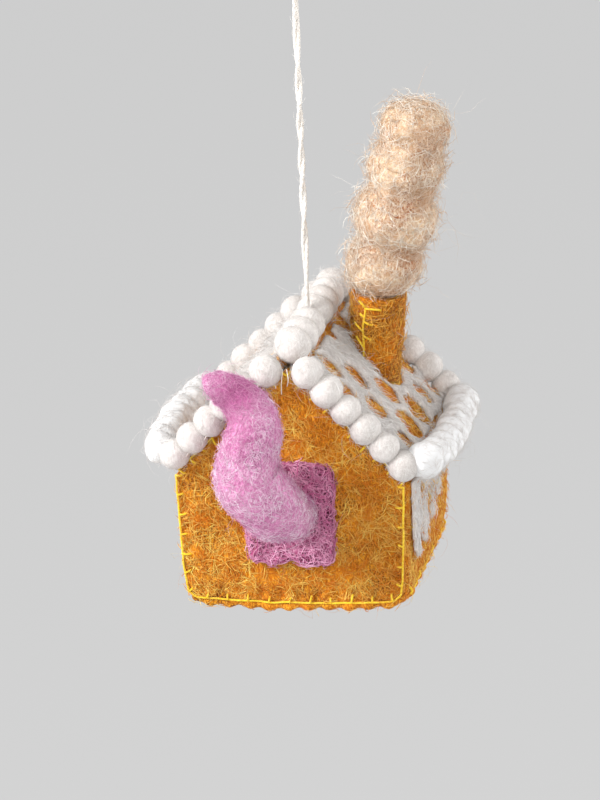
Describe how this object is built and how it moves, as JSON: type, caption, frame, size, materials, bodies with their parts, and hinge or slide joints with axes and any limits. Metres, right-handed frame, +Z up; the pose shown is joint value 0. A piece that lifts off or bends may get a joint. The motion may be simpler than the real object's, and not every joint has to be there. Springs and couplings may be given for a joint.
{
  "type": "felt house hanging ornament",
  "caption": "Small stuffed felt gable house that hangs on a doubled cord, with felt-ball roof edging, wool icing, a smoking chimney and a curled trunk on its front.",
  "frame": {"origin": "where a hook bears, inside the top of the hanging loop, straight above the house's centre of mass", "axes": "+Z up along the hanging cord, -Y out of the front gable that carries the trunk, +X to the house's right as the front is seen, on the chimney's side"},
  "size_m": [0.0996, 0.1106, 0.2253],
  "materials": {
    "mustard_felt": "thick needle-punched wool felt, matt, with loose surface fibres",
    "chimney_felt": "the same felt in a warmer ochre, rolled into a tube",
    "wool_filling": "loose carded wool",
    "white_wool": "hand-rolled and needle-felted white wool, matt and fuzzy",
    "smoke_wool": "loose undyed wool roving, very fuzzy",
    "mauve_wool": "coarse needle-felted mauve wool",
    "lilac_wool": "firm needle-felted lilac wool with pale stray fibres",
    "cotton_cord": "twisted cotton cord, matt",
    "yellow_thread": "mercerised yellow sewing thread, slight sheen"
  },
  "bodies": {
    "hanger": {"hanger_loop": "cotton_cord"},
    "cord": {"hanger_cord": "cotton_cord"},
    "house": {"floor_panel": "mustard_felt", "front_wall": "mustard_felt", "back_wall": "mustard_felt", "right_wall": "mustard_felt", "left_wall": "mustard_felt", "right_roof": "mustard_felt", "left_roof": "mustard_felt", "chimney": "chimney_felt", "stuffing": "wool_filling", "right_roof_icing": "white_wool", "left_roof_icing": "white_wool", "right_window_icing": "white_wool", "left_window_icing": "white_wool", "right_eave_balls": "white_wool", "left_eave_balls": "white_wool", "front_right_ball_1": "white_wool", "front_right_ball_2": "white_wool", "front_right_ball_3": "white_wool", "front_right_ball_4": "white_wool", "front_right_ball_5": "white_wool", "front_right_ball_6": "white_wool", "front_left_ball_1": "white_wool", "front_left_ball_2": "white_wool", "front_left_ball_3": "white_wool", "front_left_ball_4": "white_wool", "front_left_ball_5": "white_wool", "front_left_ball_6": "white_wool", "back_right_ball_1": "white_wool", "back_right_ball_2": "white_wool", "back_right_ball_3": "white_wool", "back_right_ball_4": "white_wool", "back_right_ball_5": "white_wool", "back_right_ball_6": "white_wool", "back_left_ball_1": "white_wool", "back_left_ball_2": "white_wool", "back_left_ball_3": "white_wool", "back_left_ball_4": "white_wool", "back_left_ball_5": "white_wool", "back_left_ball_6": "white_wool", "ridge_ball_1": "white_wool", "ridge_ball_2": "white_wool", "ridge_ball_3": "white_wool", "ridge_ball_4": "white_wool", "ridge_ball_5": "white_wool", "ridge_ball_6": "white_wool", "ridge_ball_7": "white_wool", "smoke_plume": "smoke_wool", "door_pad": "mauve_wool", "trunk": "lilac_wool", "hanger_anchor": "cotton_cord"}
  },
  "joints": [
    {"name": "cord_swing", "type": "hinge", "parent": "hanger", "child": "cord", "pos_m": [0, 0, -0.0226], "axis": [0, 1, 0], "range_deg": [-60, 60]},
    {"name": "house_nod", "type": "hinge", "parent": "cord", "child": "house", "pos_m": [0, 0, -0.1311], "axis": [1, 0, 0], "range_deg": [-60, 60]}
  ]
}
